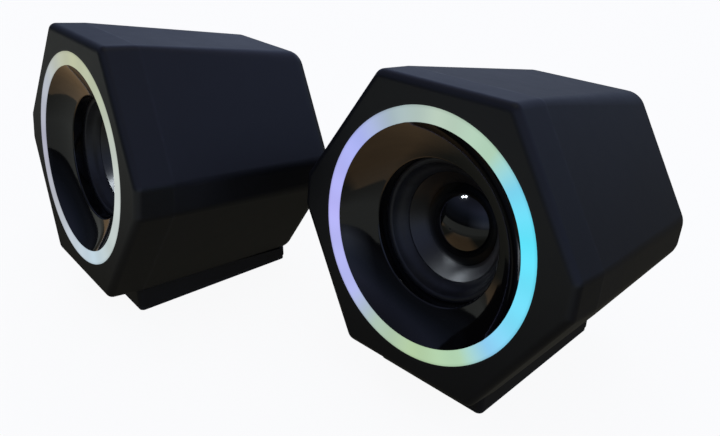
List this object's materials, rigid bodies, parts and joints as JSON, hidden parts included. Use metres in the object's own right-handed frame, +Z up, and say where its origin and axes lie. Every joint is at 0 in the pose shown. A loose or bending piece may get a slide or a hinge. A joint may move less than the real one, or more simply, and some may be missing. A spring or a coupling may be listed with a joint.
{
  "type": "desktop speakers",
  "caption": "Pair of eight-sided desktop speakers with a lit ring round a glossy funnel, wedge feet that lean them back, rear controls and a link cable.",
  "frame": {"origin": "on the desk, under the middle of the right (main) speaker's foot pad", "axes": "+Z up from the desk; -Y the way the right speaker faces; +X to the right speaker's side, seen by the listener"},
  "size_m": [0.2646, 0.2425, 0.1186],
  "materials": {
    "cabinet_paint": "satin soft-touch paint on moulded ABS",
    "ring_diffuser": "milky acrylic diffuser, lit from behind in slowly changing colours",
    "circuit_board": "solder-masked glass-epoxy board",
    "led_chip": "clear resin over white packages",
    "piano_black": "piano-black gloss moulding",
    "foam": "closed-cell foam gasket",
    "basket_steel": "black electrocoat on pressed steel",
    "surround_rubber": "satin butyl rubber",
    "cone_paper": "coated black paper cone with a satin sheen",
    "cap_gloss": "glossy black lacquered dome",
    "coil_copper": "enamelled copper winding",
    "spider_cloth": "resin-impregnated corrugated cloth",
    "zinc_steel": "zinc-plated steel",
    "ferrite": "sintered ferrite, dull dark grey",
    "wire_jacket": "soft PVC insulation",
    "foot_plastic": "fine-grained moulded ABS",
    "pad_rubber": "non-slip rubber",
    "cover_plastic": "spark-textured moulded ABS",
    "component_black": "moulded component packages",
    "shaft_metal": "turned aluminium",
    "knob_plastic": "satin moulded plastic",
    "socket_metal": "nickel-plated shell",
    "plug_plastic": "overmoulded soft PVC",
    "cable_jacket": "satin PVC jacket",
    "screw_steel": "black-oxide steel screws"
  },
  "bodies": {
    "pair_body": {"right_front_frame": "cabinet_paint", "left_front_frame": "cabinet_paint", "right_housing": "cabinet_paint", "left_housing": "cabinet_paint", "right_light_ring": "ring_diffuser", "left_light_ring": "ring_diffuser", "right_led_board": "circuit_board", "left_led_board": "circuit_board", "right_leds": "led_chip", "left_leds": "led_chip", "right_funnel": "piano_black", "left_funnel": "piano_black", "right_driver_gasket": "foam", "left_driver_gasket": "foam", "right_driver_basket": "basket_steel", "left_driver_basket": "basket_steel", "right_surround": "surround_rubber", "left_surround": "surround_rubber", "right_spider": "spider_cloth", "left_spider": "spider_cloth", "right_top_plate": "zinc_steel", "left_top_plate": "zinc_steel", "right_magnet": "ferrite", "left_magnet": "ferrite", "right_yoke": "zinc_steel", "left_yoke": "zinc_steel", "right_driver_wires": "wire_jacket", "left_driver_wires": "wire_jacket", "right_foot": "foot_plastic", "left_foot": "foot_plastic", "right_foot_pad": "pad_rubber", "left_foot_pad": "pad_rubber", "right_back_cover": "cover_plastic", "left_back_cover": "cover_plastic", "amplifier_board": "circuit_board", "board_components": "component_black", "volume_pot": "zinc_steel", "light_switch": "component_black", "power_socket": "socket_metal", "audio_sockets": "component_black", "link_plug": "plug_plastic", "cable_grommet": "pad_rubber", "link_cable": "cable_jacket", "trim_screws": "screw_steel", "frame_screws": "screw_steel", "driver_screws": "screw_steel", "cover_screws": "screw_steel", "board_screws": "screw_steel", "foot_screws": "screw_steel"},
    "right_diaphragm": {"right_cone": "cone_paper", "right_dust_cap": "cap_gloss", "right_voice_coil": "coil_copper"},
    "left_diaphragm": {"left_cone": "cone_paper", "left_dust_cap": "cap_gloss", "left_voice_coil": "coil_copper"},
    "volume_control": {"volume_knob": "knob_plastic", "volume_shaft": "shaft_metal"},
    "light_control": {"light_button": "knob_plastic", "switch_plunger": "knob_plastic"}
  },
  "joints": [
    {"name": "right_cone_travel", "type": "slide", "parent": "pair_body", "child": "right_diaphragm", "axis": [0, -0.9921, 0.1253], "range_m": [-0.0015, 0.0015]},
    {"name": "left_cone_travel", "type": "slide", "parent": "pair_body", "child": "left_diaphragm", "axis": [-0.1037, -0.9867, 0.1253], "range_m": [-0.0015, 0.0015]},
    {"name": "volume_turn", "type": "hinge", "parent": "pair_body", "child": "volume_control", "pos_m": [-0.007, 0.05112, 0.06756], "axis": [0, 0.9921, -0.1253], "range_deg": [-150, 150]},
    {"name": "light_button_press", "type": "slide", "parent": "pair_body", "child": "light_control", "axis": [0, -0.9921, 0.1253], "range_m": [0, 0.0008], "stiffness_N_per_m": 600}
  ]
}
